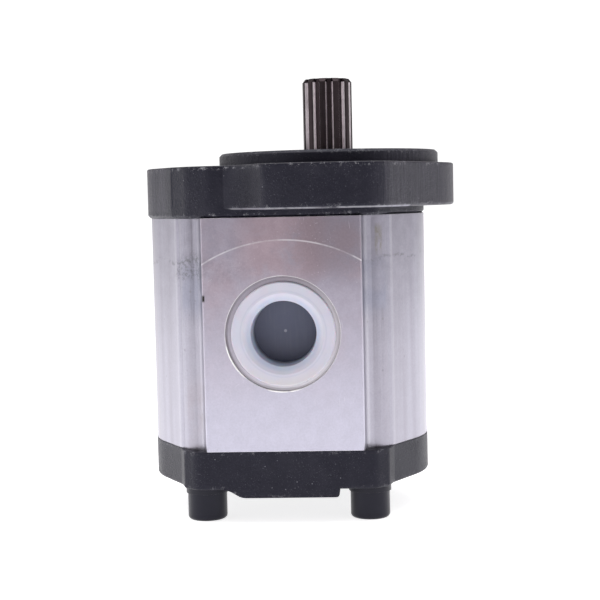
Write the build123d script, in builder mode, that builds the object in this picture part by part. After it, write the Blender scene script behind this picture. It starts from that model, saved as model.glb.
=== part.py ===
"""External gear pump: two meshing gears in an aluminium body, clamped between two cast covers.

Millimetres. The origin is on the drive shaft's axis, in the plane of the mounting face.
+Z points out along the drive shaft. +X points from the driven gear to the drive gear, and the
two ports face -Y and +Y.
"""
import os
from math import acos, atan2, cos, degrees, hypot, pi, radians, sin, sqrt, tan

from build123d import *

os.makedirs("parts", exist_ok=True)

# ---- Layout along the shaft ----
FLANGE_THICKNESS = 15.6  # mounting ears and the rim round the pilot
FRONT_COVER_HEIGHT = 18.4  # mounting face down to the body
BODY_LENGTH = 83.2
REAR_COVER_HEIGHT = 13.8
REAR_PAD_HEIGHT = 2.9
BODY_TOP = -FRONT_COVER_HEIGHT
BODY_BOTTOM = BODY_TOP - BODY_LENGTH
REAR_FACE = BODY_BOTTOM - REAR_COVER_HEIGHT
BODY_MIDDLE = (BODY_TOP + BODY_BOTTOM) / 2

# ---- Gears ----
GEAR_CENTRES = 32.0
GEAR_TEETH = 12
GEAR_WIDTH = 30.0
PRESSURE_ANGLE = 25.0
TOOTH_THINNING = 0.10  # taken off each tooth at the pitch circle, for backlash
MODULE = GEAR_CENTRES / GEAR_TEETH
PITCH_R = GEAR_CENTRES / 2
TIP_R = PITCH_R + MODULE
ROOT_R = PITCH_R - 1.25 * MODULE
DRIVEN_X = -GEAR_CENTRES
BODY_X = -GEAR_CENTRES / 2
GEAR_TOP = BODY_MIDDLE + GEAR_WIDTH / 2
GEAR_BOTTOM = BODY_MIDDLE - GEAR_WIDTH / 2

# ---- Shafts and bearings ----
JOURNAL_R = 9.5
JOURNAL_CLEARANCE = 0.03
BUSH_WALL = 1.95
BUSH_LENGTH = 22.0
BUSH_R = JOURNAL_R + JOURNAL_CLEARANCE + BUSH_WALL
FIT_GAP = 0.02  # radial gap between parts that seat in one another
SAME_PLACE = 0.01  # points closer than this are the same corner
END_GAP = 0.05  # axial gap at each end of the gears
GEAR_POCKET_R = TIP_R + 0.08
BLOCK_R = GEAR_POCKET_R - FIT_GAP
COVER_BORE_R = 10.2
JOURNAL_END = 1.2  # from a journal's end to the cover
JOURNAL_TOP = 3.4  # the drive shaft's journal runs up through the seal
JOURNAL_CHAMFER = 0.6
RELIEF_WIDTH = 7.0
RELIEF_HEIGHT = 3.4
RELIEF_DEPTH = 1.0
RELIEF_Y = 5.2

# ---- Splined shaft end: 11 teeth, 16/32 pitch, 30 degree pressure angle ----
SPLINE_TEETH = 11
SPLINE_PITCH_R = SPLINE_TEETH / 16 * 25.4 / 2
SPLINE_TIP_R = 9.3
SPLINE_ROOT_R = 7.55
SPLINE_PRESSURE_ANGLE = 30.0
SHAFT_END = 32.4
SHAFT_CHAMFER = 1.0
SHAFT_CHAMFER_STEEPNESS = 1.3
FLANK_STEPS = 5  # spans in a tooth flank's curve
FOOT_SHARE = 0.9  # how far in a tooth's foot starts, as a share of its root radius
SPLINE_PHASE = -90 + 7.3 + 180 / SPLINE_TEETH  # angle of one tooth about Z

# ---- Body plan, about the body's own centre ----
BODY_TIP_R = 35.7
SIDE_SLANT = 30.0  # of the flat sides, from the Y axis
SIDE_CORNER_Y = 31.8
SHOULDER_CENTRE = (31.5, 30.5)
SHOULDER_R = 6.25
SHOULDER_START = 24.0  # degrees, from the X axis
SHOULDER_SWEEP = 64.0
BOSS_HALF_WIDTH = 28.4
BOSS_Y = 43.0
BOSS_EDGE = (0.5, 0.8)  # the bevel along a boss's edges, across and down
BOSS_FILLET_POINT = (29.7, 38.6)  # on the hollow between shoulder and boss

# ---- Ports: 1-1/16 inch straight thread with a spot face ----
PORT_Z = BODY_MIDDLE + 0.35  # the bores were cut a little above the gears' middle
PORT_R = 12.65
PORT_THREAD_R = 13.45
PORT_THREAD_PITCH = 25.4 / 12
PORT_THREAD_TURNS = 7
PORT_MOUTH_R = 14.6
PORT_MOUTH_DEPTH = 3.3
PORT_DEPTH = 22.0
PORT_OVERLAP = 0.5  # how far the passage runs into the port's bore
PORT_PASSAGE_R = 8.0
SPOT_FACE_R = 20.4
SPOT_FACE_DEPTH = 0.6

# ---- Transport plugs: thin moulded cups, loose in the ports ----
PLUG_FLANGE_R = 18.5
PLUG_FLANGE_THICKNESS = 1.8
PLUG_RIM_R = 14.4  # where the flat flange begins to dip into the cup
PLUG_MOUTH_R = 11.7
PLUG_MOUTH_DIP = 1.1
PLUG_STEM_R = 12.2
PLUG_STEM_END_R = 11.9
PLUG_STEM_LENGTH = 13.0
PLUG_WALL = 0.7
PLUG_FLOOR = 0.9
PLUG_EDGE = 0.35  # bevels at the rim and at the stem's end
PLUG_MOUTH_ROUND = 0.6
PLUG_SHIFT = 0.25  # the loose plug leans to one side of its port

# ---- Front cover ----
PILOT_R = 82.55 / 2
PILOT_HEIGHT = 5.0
PILOT_CHAMFER = 1.0
FLANGE_R = 47.0
EAR_R = 65.0
EAR_SLANT = 28.1  # of the ear's sides, from the Y axis
FLANGE_BOLT_SPACING = 106.4
FLANGE_HOLE_R = 11.1 / 2
COVER_CORNER_DROP = 0.6  # how far past the body's corners the covers' corners reach
COVER_PROUD = 1.2  # how far the cover stands out past the driven gear's end of the body
NECK_PROUD = 0.0  # the same past the drive gear's end, under the flange
COVER_CORNER_R = 2.2
COVER_SHOULDER = [((33.5, 39.2), 7.0), ((25.0, BOSS_Y), 7.0)]  # corners and their fillet radii
COVER_TOP_R = 0.7
COVER_FOOT_CHAMFER = 0.9
FLANGE_EDGE_R = 1.2
EAR_CORNER = (-21.0, 61.5)
EAR_FOOT = (-30.0, 46.0)
COVER_CORNER = (-55.6, 32.9)
EAR_BLEND_R = 20.0
EAR_CORNER_RADII = (5.0, 12.0)  # at the driven gear's side and at the drive gear's side

# ---- Shaft seal and its retaining ring, in the pilot ----
SEAL_R = 15.05
SEAL_HEIGHT = 7.0
SEAL_TOP = 2.0
RING_THICKNESS = 1.2
RING_GROOVE_R = 16.1
RING_WIDTH = 2.6
RING_OPENING = 7.0
RING_EYE_R = 2.4
RING_EYE_HOLE_R = 1.1
RING_EYE_INSET = 2.9
RING_EYE_ANGLE = 70.0
SEAL_MOUTH_CHAMFER = 0.8
SEAL_SHEET = 0.9  # of the seal's metal case
SEAL_EDGE = 0.4
SEAL_COLLAR = 1.2  # thickness of the rubber under the case's flange
SEAL_LIP_DROP = 2.0  # from the spring's middle to the sealing lip's foot
SEAL_LIP_WALL = 0.9
SEAL_DUST_LIP = 0.4
SEAL_INNER_R = 11.0  # of the case's inward flange
SPRING_R = 11.3
SPRING_WIRE_R = 0.75
SPRING_Z = -1.4

# ---- Rear cover: bottom edge and the raised pad, about the body's centre ----
REAR_PROUD = 0.15
REAR_SHOULDER = [((36.9, 38.8), 2.5), ((32.0, BOSS_Y), 5.0)]
REAR_EDGE_R = 1.0
PAD_SLOPE_START = -22.5
PAD_SLOPE_END = -14.2
PAD_END = 19.0
PAD_CORNER_R = 1.3
PAD_ROOT = 4.0  # how far the pad runs up into the cover

# ---- Clamping screws, lock washers and dowels ----
SCREW_X = 29.7
SCREW_Y = 30.5
SCREW_R = 9.525 / 2
SCREW_CLEARANCE_R = 5.1
SCREW_HEAD_R = 7.15
SCREW_HEAD_HEIGHT = 9.9
SCREW_HEX = 7.94
SCREW_HEX_DEPTH = 4.8
SCREW_HEAD_EDGE_R = 1.4
SCREW_TIP_Z = -5.2
SCREW_TIP_CHAMFER = 0.9
THREAD_END_Z = -3.6
WASHER_R = 7.7
WASHER_THICKNESS = 2.6
WASHER_GAP = 0.2
WASHER_SPLIT = 0.9
WASHER_SLANT = 20.0  # of the split, in degrees
DOWEL_R = 3.0
DOWEL_HALF_LENGTH = 5.0
DOWEL_CHAMFER = 0.5
DOWEL_HOLE_SPARE = 1.0  # depth past each end of a dowel
DOWEL_X = 44.6

# ---- Seals between body, covers and bearing blocks ----
BODY_SEAL_R = 21.6
BODY_SEAL_WIDTH = 2.2
BODY_SEAL_GROOVE_WIDTH = 2.6
BODY_SEAL_GROOVE_DEPTH = 1.8
PRESSURE_SEAL_R = 13.9
PRESSURE_SEAL_WIDTH = 1.8
BACKUP_RING_R = 15.35
BACKUP_RING_WIDTH = 1.0
PRESSURE_GROOVE_R = 14.4
PRESSURE_GROOVE_WIDTH = 3.1
PRESSURE_GROOVE_DEPTH = 2.2
ARCH_Y = 14.0
SEAL_END_ANGLE = 115.0
SEAL_GAP = 0.1  # between a seal and the bottom of its groove

gear_axes = [(0, 0), (DRIVEN_X, 0)]
lobe_centres = [(PITCH_R, 0), (-PITCH_R, 0)]
screw_places = [(x * SCREW_X, y * SCREW_Y) for x in (-1, 1) for y in (-1, 1)]
dowel_places = [(-DOWEL_X, 0), (DOWEL_X, 0)]


def body_plane(z):
    """The horizontal plane at height z, with its origin at the body's own centre."""
    return Plane((BODY_X, 0, z))


def involute(angle):
    return tan(angle) - angle


def tooth_face(pitch_r, root_r, tip_r, pressure_angle, thickness):
    """One involute tooth pointing along +X, with its foot sunk a little below the root circle."""
    base_r = pitch_r * cos(radians(pressure_angle))
    start_r = max(base_r, root_r)
    half_base = thickness / (2 * pitch_r) + involute(radians(pressure_angle))

    def flank_point(r):
        half = half_base - involute(acos(min(1.0, base_r / r)))
        return (r * cos(half), r * sin(half))

    depth = tip_r - start_r
    flank = [flank_point(start_r + depth * step / FLANK_STEPS) for step in range(FLANK_STEPS + 1)]
    other_flank = [(x, -y) for x, y in reversed(flank)]
    foot_x = FOOT_SHARE * root_r
    foot_y = flank[0][1] * foot_x / flank[0][0]
    with BuildSketch() as tooth:
        with BuildLine():
            Line((foot_x, -foot_y), other_flank[-1])
            Spline(*reversed(other_flank))
            ThreePointArc(other_flank[0], (tip_r, 0), flank[-1])
            Spline(*flank)
            Line(flank[0], (foot_x, foot_y))
            Line((foot_x, foot_y), (foot_x, -foot_y))
        make_face()
    return tooth.sketch


def gear_profile(phase):
    """A gear's section: its root disc and teeth, with one tooth at the angle phase."""
    thickness = pi * MODULE / 2 - TOOTH_THINNING
    with BuildSketch() as section:
        Circle(ROOT_R)
        with PolarLocations(0, GEAR_TEETH, start_angle=phase):
            add(tooth_face(PITCH_R, ROOT_R, TIP_R, PRESSURE_ANGLE, thickness))
    return section.sketch


def spline_profile():
    """The splined shaft end's section."""
    thickness = pi * SPLINE_PITCH_R / SPLINE_TEETH
    with BuildSketch() as section:
        Circle(SPLINE_ROOT_R)
        with PolarLocations(0, SPLINE_TEETH, start_angle=SPLINE_PHASE):
            add(tooth_face(SPLINE_PITCH_R, SPLINE_ROOT_R, SPLINE_TIP_R, SPLINE_PRESSURE_ANGLE, thickness))
    return section.sketch


def side_corner(tip_r, corner_y):
    """Where a slanted side, tangent to the tip arc, reaches the height corner_y."""
    slant = radians(SIDE_SLANT)
    run = (corner_y - tip_r * sin(slant)) / cos(slant)
    return (PITCH_R + tip_r * cos(slant) - run * sin(slant), corner_y)


def body_outline():
    """The extruded body's plan: round tips, slanted sides, bolt shoulders and port bosses."""
    with BuildSketch() as plan:
        with BuildLine():
            tip = CenterArc((PITCH_R, 0), BODY_TIP_R, 0, SIDE_SLANT)
            side = Line(tip @ 1, side_corner(BODY_TIP_R, SIDE_CORNER_Y))
            shoulder = CenterArc(SHOULDER_CENTRE, SHOULDER_R, SHOULDER_START, SHOULDER_SWEEP)
            Line(side @ 1, shoulder @ 0)
            step_end = (BOSS_HALF_WIDTH, BOSS_Y - BOSS_EDGE[1])
            boss_start = (BOSS_HALF_WIDTH - BOSS_EDGE[0], BOSS_Y)
            ThreePointArc(shoulder @ 1, BOSS_FILLET_POINT, step_end)
            Line(step_end, boss_start)
            Line(boss_start, (0, BOSS_Y))
            mirror(about=Plane.YZ)
            mirror(about=Plane.XZ)
        make_face()
    return plan.sketch


def cover_outline(left_proud, right_proud, shoulder):
    """A cast cover's plan: like the body's, standing out a little at its tips, its steps smoothed out.

    shoulder is the list of corners between the slanted side and the front, with their fillet radii.
    """
    with BuildSketch() as plan:
        with BuildLine():
            for side, proud in ((-1, left_proud), (1, right_proud)):
                tip_r = BODY_TIP_R + proud
                slant = radians(SIDE_SLANT)
                tip_end = (side * (PITCH_R + tip_r * cos(slant)), tip_r * sin(slant))
                tip_start = (side * (PITCH_R + tip_r), 0)
                RadiusArc(tip_start, tip_end, -side * tip_r)
                corner = side_corner(tip_r, SIDE_CORNER_Y + COVER_CORNER_DROP)
                corners = [corner] + [point for point, _ in shoulder]
                radii = [COVER_CORNER_R] + [radius for _, radius in shoulder]
                FilletPolyline(tip_end, *[(side * x, y) for x, y in corners], (0, BOSS_Y), radius=radii)
            mirror(about=Plane.XZ)
        make_face()
    return plan.sketch


def corners_at(plan, place):
    """The sketch's vertices at a place and at its mirror image across the X axis."""
    return plan.vertices().filter_by(lambda v: hypot(v.X - place[0], abs(v.Y) - place[1]) < SAME_PLACE)


def flange_outline():
    """The mounting flange's plan about the drive shaft: a round rim with two broad ears."""
    slant = radians(EAR_SLANT)
    tangent = (FLANGE_R * cos(slant), FLANGE_R * sin(slant))
    side_run = sqrt(EAR_R**2 - FLANGE_R**2)
    ear_end = (tangent[0] - side_run * sin(slant), tangent[1] + side_run * cos(slant))
    with BuildSketch() as plan:
        with BuildLine():
            RadiusArc((FLANGE_R, 0), tangent, -FLANGE_R)
            Line(tangent, ear_end)
            ThreePointArc(ear_end, (0, EAR_R), EAR_CORNER)
            Polyline(EAR_CORNER, EAR_FOOT, COVER_CORNER, (COVER_CORNER[0], 0))
            mirror(about=Plane.XZ)
        make_face()
        for place, radius in (
            (EAR_FOOT, EAR_BLEND_R),
            (EAR_CORNER, EAR_CORNER_RADII[0]),
            (ear_end, EAR_CORNER_RADII[1]),
        ):
            fillet(corners_at(plan, place), radius)
    return plan.sketch


def figure_eight(radius):
    """Two overlapping discs on the gear axes, about the body's centre."""
    with BuildSketch() as plan:
        with Locations(*lobe_centres):
            Circle(radius)
    return plan.sketch


def racetrack(radius, width):
    """A closed seal track of the given width round both gear axes."""
    with BuildSketch() as plan:
        SlotCenterToCenter(GEAR_CENTRES, 2 * radius + width)
        SlotCenterToCenter(GEAR_CENTRES, 2 * radius - width, mode=Mode.SUBTRACT)
    return plan.sketch


def three_shape(radius, width):
    """A 3-shaped seal track: an arc round each journal, joined by an arch on the inlet side."""
    join = degrees(atan2(ARCH_Y, PITCH_R))
    sweep = SEAL_END_ANGLE + 180 - join
    with BuildSketch() as plan:
        with BuildLine():
            CenterArc((PITCH_R, 0), radius, SEAL_END_ANGLE, -sweep)
            CenterArc((0, -ARCH_Y), hypot(PITCH_R, ARCH_Y) - radius, join, 180 - 2 * join)
            CenterArc((-PITCH_R, 0), radius, 180 - SEAL_END_ANGLE, sweep)
        trace(line_width=width)
    return plan.sketch


def port_section(side):
    """Half of a port's section: spot face, seal cone, thread and bore, from the boss's face inwards."""
    outline = [(0, 0), (SPOT_FACE_R, 0), (SPOT_FACE_R, SPOT_FACE_DEPTH), (PORT_MOUTH_R, SPOT_FACE_DEPTH)]
    for turn in range(PORT_THREAD_TURNS):
        start = PORT_MOUTH_DEPTH + turn * PORT_THREAD_PITCH
        outline.append((PORT_R, start))
        outline.append((PORT_THREAD_R, start + PORT_THREAD_PITCH / 2))
    thread_end = PORT_MOUTH_DEPTH + PORT_THREAD_TURNS * PORT_THREAD_PITCH
    outline += [(PORT_R, thread_end), (PORT_R, PORT_DEPTH), (0, PORT_DEPTH)]
    with BuildSketch(Plane((BODY_X, side * BOSS_Y, PORT_Z))) as section:
        with BuildLine():
            Polyline(*[(radius, -side * depth) for radius, depth in outline], close=True)
        make_face()
    return section.sketch


def plug_section(side):
    """Half of a transport plug's section, from its axis out: a dished flange and a thin cup."""
    seat = SPOT_FACE_DEPTH
    front = seat - PLUG_FLANGE_THICKNESS
    floor = PLUG_STEM_LENGTH
    inner_floor = floor - PLUG_FLOOR
    inner_floor_r = PLUG_STEM_END_R - PLUG_WALL
    with BuildSketch(Plane((BODY_X + PLUG_SHIFT, side * BOSS_Y, PORT_Z))) as section:
        with BuildLine():
            outer = [
                (0, inner_floor),
                (0, floor),
                (PLUG_STEM_END_R - PLUG_EDGE, floor),
                (PLUG_STEM_END_R, floor - PLUG_EDGE),
                (PLUG_STEM_R, seat),
                (PLUG_FLANGE_R, seat),
                (PLUG_FLANGE_R, front + PLUG_EDGE),
                (PLUG_FLANGE_R - PLUG_EDGE, front),
                (PLUG_RIM_R, front),
                (PLUG_MOUTH_R + PLUG_MOUTH_ROUND, front + PLUG_MOUTH_DIP),
                (PLUG_MOUTH_R, front + PLUG_MOUTH_DIP + PLUG_EDGE),
                (inner_floor_r, inner_floor),
            ]
            Polyline(*[(radius, -side * depth) for radius, depth in outer], close=True)
        make_face()
    return section.sketch


def cross_axis(x, z):
    """The axis through (x, z) that runs from port to port."""
    return Axis((x, 0, z), (0, 1, 0))


# ================= Casing =================

with BuildPart() as pump_body:
    with BuildSketch(body_plane(BODY_BOTTOM)):
        add(body_outline())
        add(figure_eight(GEAR_POCKET_R), mode=Mode.SUBTRACT)
        with Locations(*screw_places):
            Circle(SCREW_CLEARANCE_R, mode=Mode.SUBTRACT)
    extrude(amount=BODY_LENGTH)
    for z, inwards in ((BODY_TOP, -1), (BODY_BOTTOM, 1)):
        with BuildSketch(body_plane(z)):
            add(racetrack(BODY_SEAL_R, BODY_SEAL_GROOVE_WIDTH))
        extrude(amount=inwards * BODY_SEAL_GROOVE_DEPTH, mode=Mode.SUBTRACT)
        with BuildSketch(body_plane(z)):
            with Locations(*dowel_places):
                Circle(DOWEL_R + FIT_GAP)
        extrude(amount=inwards * (DOWEL_HALF_LENGTH + DOWEL_HOLE_SPARE), mode=Mode.SUBTRACT)
    for side in (-1, 1):
        add(port_section(side))
        revolve(axis=cross_axis(BODY_X, PORT_Z), mode=Mode.SUBTRACT)
    with BuildSketch(Plane((BODY_X, 0, PORT_Z), x_dir=(1, 0, 0), z_dir=(0, 1, 0))):
        Circle(PORT_PASSAGE_R)
    extrude(amount=BOSS_Y - PORT_DEPTH + PORT_OVERLAP, both=True, mode=Mode.SUBTRACT)
pump_body.part.label = "pump_body"
export_step(pump_body.part, "parts/pump_body.step")

with BuildPart() as cover_casting:
    # The front cover's body, as thick as the whole cover.
    with BuildSketch(body_plane(BODY_TOP)):
        add(cover_outline(COVER_PROUD, NECK_PROUD, COVER_SHOULDER))
    extrude(amount=FRONT_COVER_HEIGHT)
    chamfer(cover_casting.faces().sort_by(Axis.Z)[0].outer_wire().edges(), COVER_FOOT_CHAMFER)
    fillet(cover_casting.faces().sort_by(Axis.Z)[-1].outer_wire().edges(), COVER_TOP_R)

with BuildPart() as front_cover:
    # The flange: two ears and the rim round the pilot.
    with BuildSketch(Plane.XY.offset(-FLANGE_THICKNESS)):
        add(flange_outline())
    extrude(amount=FLANGE_THICKNESS)
    fillet(front_cover.faces().sort_by(Axis.Z)[0].outer_wire().edges(), FLANGE_EDGE_R)
    fillet(front_cover.faces().sort_by(Axis.Z)[-1].outer_wire().edges(), COVER_TOP_R)
    add(cover_casting.part)
    # The pilot, and the shaft's passage with its seal pocket and ring groove.
    with BuildSketch(Plane.XY):
        Circle(PILOT_R)
    extrude(amount=PILOT_HEIGHT)
    chamfer(front_cover.faces().sort_by(Axis.Z)[-1].outer_wire().edges(), PILOT_CHAMFER)
    with BuildSketch(Plane.XY.offset(BODY_TOP)):
        Circle(COVER_BORE_R)
    extrude(amount=FRONT_COVER_HEIGHT, mode=Mode.SUBTRACT)
    with BuildSketch(Plane.XY.offset(SEAL_TOP - SEAL_HEIGHT)):
        Circle(SEAL_R + FIT_GAP)
    extrude(amount=SEAL_HEIGHT - SEAL_TOP + PILOT_HEIGHT, mode=Mode.SUBTRACT)
    with BuildSketch(Plane.XY.offset(SEAL_TOP)):
        Circle(RING_GROOVE_R)
    extrude(amount=RING_THICKNESS + 2 * FIT_GAP, mode=Mode.SUBTRACT)
    mouth = front_cover.edges().filter_by(GeomType.CIRCLE).group_by(Axis.Z)[-1].sort_by(SortBy.RADIUS)[0]
    chamfer(mouth, SEAL_MOUTH_CHAMFER)
    # Mounting holes through the ears, and blind holes from the body's side.
    with BuildSketch(Plane.XY.offset(-FLANGE_THICKNESS)):
        with Locations((0, -FLANGE_BOLT_SPACING / 2), (0, FLANGE_BOLT_SPACING / 2)):
            Circle(FLANGE_HOLE_R)
    extrude(amount=FLANGE_THICKNESS, mode=Mode.SUBTRACT)
    with BuildSketch(body_plane(BODY_TOP)):
        with Locations(*screw_places):
            Circle(SCREW_R + FIT_GAP)
    extrude(amount=THREAD_END_Z - BODY_TOP, mode=Mode.SUBTRACT)
    with BuildSketch(body_plane(BODY_TOP)):
        with Locations(*dowel_places):
            Circle(DOWEL_R + FIT_GAP)
    extrude(amount=DOWEL_HALF_LENGTH + DOWEL_HOLE_SPARE, mode=Mode.SUBTRACT)
front_cover.part.label = "front_cover"
export_step(front_cover.part, "parts/front_cover.step")

with BuildPart() as rear_cover:
    with BuildSketch(body_plane(REAR_FACE)):
        add(cover_outline(REAR_PROUD, REAR_PROUD, REAR_SHOULDER))
    extrude(amount=REAR_COVER_HEIGHT)
    fillet(rear_cover.faces().sort_by(Axis.Z)[0].outer_wire().edges(), REAR_EDGE_R)
    # A raised pad across the underside, from port side to port side.
    with BuildSketch(Plane((BODY_X, 0, REAR_FACE), x_dir=(1, 0, 0), z_dir=(0, -1, 0))):
        with BuildLine():
            slope_foot = (PAD_SLOPE_END, -REAR_PAD_HEIGHT)
            corner_start = (PAD_END - PAD_CORNER_R, -REAR_PAD_HEIGHT)
            corner_end = (PAD_END, PAD_CORNER_R - REAR_PAD_HEIGHT)
            Spline((PAD_SLOPE_START, 0), slope_foot, tangents=[(1, 0), (1, 0)])
            Line(slope_foot, corner_start)
            RadiusArc(corner_start, corner_end, -PAD_CORNER_R)
            Line(corner_end, (PAD_END, PAD_ROOT))
            Line((PAD_END, PAD_ROOT), (PAD_SLOPE_START, PAD_ROOT))
            Line((PAD_SLOPE_START, PAD_ROOT), (PAD_SLOPE_START, 0))
        make_face()
    extrude(amount=BOSS_Y, both=True)
    with BuildSketch(body_plane(REAR_FACE)):
        with Locations(*screw_places):
            Circle(SCREW_CLEARANCE_R)
    extrude(amount=REAR_COVER_HEIGHT, mode=Mode.SUBTRACT)
    with BuildSketch(body_plane(BODY_BOTTOM)):
        with Locations(*dowel_places):
            Circle(DOWEL_R + FIT_GAP)
    extrude(amount=-DOWEL_HALF_LENGTH - DOWEL_HOLE_SPARE, mode=Mode.SUBTRACT)
rear_cover.part.label = "rear_cover"
export_step(rear_cover.part, "parts/rear_cover.step")

# ================= Gears on their shafts =================

with BuildPart() as drive_gear_shaft:
    with BuildSketch(Plane.XY.offset(BODY_BOTTOM + JOURNAL_END)):
        Circle(JOURNAL_R)
    extrude(amount=JOURNAL_TOP - BODY_BOTTOM - JOURNAL_END)
    chamfer(drive_gear_shaft.edges().filter_by(GeomType.CIRCLE), JOURNAL_CHAMFER)
    with BuildSketch(Plane.XY.offset(GEAR_BOTTOM + END_GAP)):
        add(gear_profile(180))
    extrude(amount=GEAR_WIDTH - 2 * END_GAP)
    with BuildSketch(Plane.XY.offset(JOURNAL_TOP - JOURNAL_CHAMFER)):
        add(spline_profile())
    extrude(amount=SHAFT_END - JOURNAL_TOP + JOURNAL_CHAMFER)
    # The end chamfer is turned away all round.
    with BuildSketch(Plane.XZ):
        with BuildLine():
            inner = SPLINE_TIP_R - SHAFT_CHAMFER
            drop = SHAFT_END - SHAFT_CHAMFER * SHAFT_CHAMFER_STEEPNESS
            Polyline((inner, SHAFT_END), (SPLINE_TIP_R, drop), (SPLINE_TIP_R, SHAFT_END), close=True)
        make_face()
    revolve(axis=Axis.Z, mode=Mode.SUBTRACT)
drive_gear_shaft.part.label = "drive_gear_shaft"
export_step(drive_gear_shaft.part, "parts/drive_gear_shaft.step")

with BuildPart() as driven_gear_shaft:
    with BuildSketch(Plane((DRIVEN_X, 0, BODY_BOTTOM + JOURNAL_END))):
        Circle(JOURNAL_R)
    extrude(amount=BODY_LENGTH - 2 * JOURNAL_END)
    chamfer(driven_gear_shaft.edges().filter_by(GeomType.CIRCLE), JOURNAL_CHAMFER)
    with BuildSketch(Plane((DRIVEN_X, 0, GEAR_BOTTOM + END_GAP))):
        add(gear_profile(180 / GEAR_TEETH))
    extrude(amount=GEAR_WIDTH - 2 * END_GAP)
driven_gear_shaft.part.label = "driven_gear_shaft"
export_step(driven_gear_shaft.part, "parts/driven_gear_shaft.step")

# ================= Bearing blocks and their bushes =================

BLOCK_LENGTH = (BODY_LENGTH - GEAR_WIDTH) / 2 - FIT_GAP


def bearing_block(gear_face, away):
    """A figure-eight block standing on the gears' end face. away is +1 towards +Z and -1 towards -Z."""
    outer_face = gear_face + away * BLOCK_LENGTH
    with BuildPart() as block:
        with BuildSketch(body_plane(gear_face)):
            add(figure_eight(BLOCK_R))
            with Locations(*lobe_centres):
                Circle(BUSH_R + FIT_GAP, mode=Mode.SUBTRACT)
        extrude(amount=away * BLOCK_LENGTH)
        with BuildSketch(body_plane(outer_face)):
            add(three_shape(PRESSURE_GROOVE_R, PRESSURE_GROOVE_WIDTH))
        extrude(amount=-away * PRESSURE_GROOVE_DEPTH, mode=Mode.SUBTRACT)
        # Relief pockets beside the mesh, on the gears' side.
        with BuildSketch(body_plane(gear_face)):
            with Locations((0, -RELIEF_Y), (0, RELIEF_Y)):
                RectangleRounded(RELIEF_WIDTH, RELIEF_HEIGHT, RELIEF_HEIGHT / 3)
        extrude(amount=away * RELIEF_DEPTH, mode=Mode.SUBTRACT)
    return block.part


for end, gear_face, away in (("front", GEAR_TOP, 1), ("rear", GEAR_BOTTOM, -1)):
    block = bearing_block(gear_face, away)
    block.label = f"{end}_bearing_block"
    export_step(block, f"parts/{block.label}.step")
    for gear, axis_x in (("drive", 0), ("driven", DRIVEN_X)):
        with BuildPart() as bush:
            with BuildSketch(Plane((axis_x, 0, gear_face + away * FIT_GAP))):
                Circle(BUSH_R)
                Circle(JOURNAL_R + JOURNAL_CLEARANCE, mode=Mode.SUBTRACT)
            extrude(amount=away * BUSH_LENGTH)
        bush.part.label = f"{end}_{gear}_bush"
        export_step(bush.part, f"parts/{bush.part.label}.step")

# ================= Body seals and pressure seals =================

for end, cover_face, inwards in (("front", BODY_TOP, -1), ("rear", BODY_BOTTOM, 1)):
    with BuildPart() as body_seal:
        with BuildSketch(body_plane(cover_face + inwards * FIT_GAP)):
            add(racetrack(BODY_SEAL_R, BODY_SEAL_WIDTH))
        extrude(amount=inwards * (BODY_SEAL_GROOVE_DEPTH - SEAL_GAP))
    body_seal.part.label = f"{end}_body_seal"
    export_step(body_seal.part, f"parts/{body_seal.part.label}.step")
    block_face = cover_face + inwards * FIT_GAP
    for name, radius, width in (
        ("pressure_seal", PRESSURE_SEAL_R, PRESSURE_SEAL_WIDTH),
        ("backup_ring", BACKUP_RING_R, BACKUP_RING_WIDTH),
    ):
        with BuildPart() as seal:
            with BuildSketch(body_plane(block_face)):
                add(three_shape(radius, width))
            extrude(amount=inwards * (PRESSURE_GROOVE_DEPTH - SEAL_GAP))
        seal.part.label = f"{end}_{name}"
        export_step(seal.part, f"parts/{seal.part.label}.step")

# ================= Shaft seal and retaining ring =================

SEAL_BOTTOM = SEAL_TOP - SEAL_HEIGHT + FIT_GAP
CASE_TOP = SEAL_TOP - FIT_GAP

with BuildPart() as shaft_seal_case:
    # An L-shaped pressing: a sleeve and an inward flange on its outer side.
    with BuildSketch(Plane.XZ):
        with BuildLine():
            Polyline(
                (SEAL_R, SEAL_BOTTOM),
                (SEAL_R, CASE_TOP - SEAL_EDGE),
                (SEAL_R - SEAL_EDGE, CASE_TOP),
                (SEAL_INNER_R, CASE_TOP),
                (SEAL_INNER_R, CASE_TOP - SEAL_SHEET),
                (SEAL_R - SEAL_SHEET, CASE_TOP - SEAL_SHEET),
                (SEAL_R - SEAL_SHEET, SEAL_BOTTOM),
                close=True,
            )
        make_face()
    revolve(axis=Axis.Z)
shaft_seal_case.part.label = "shaft_seal_case"
export_step(shaft_seal_case.part, "parts/shaft_seal_case.step")

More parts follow.
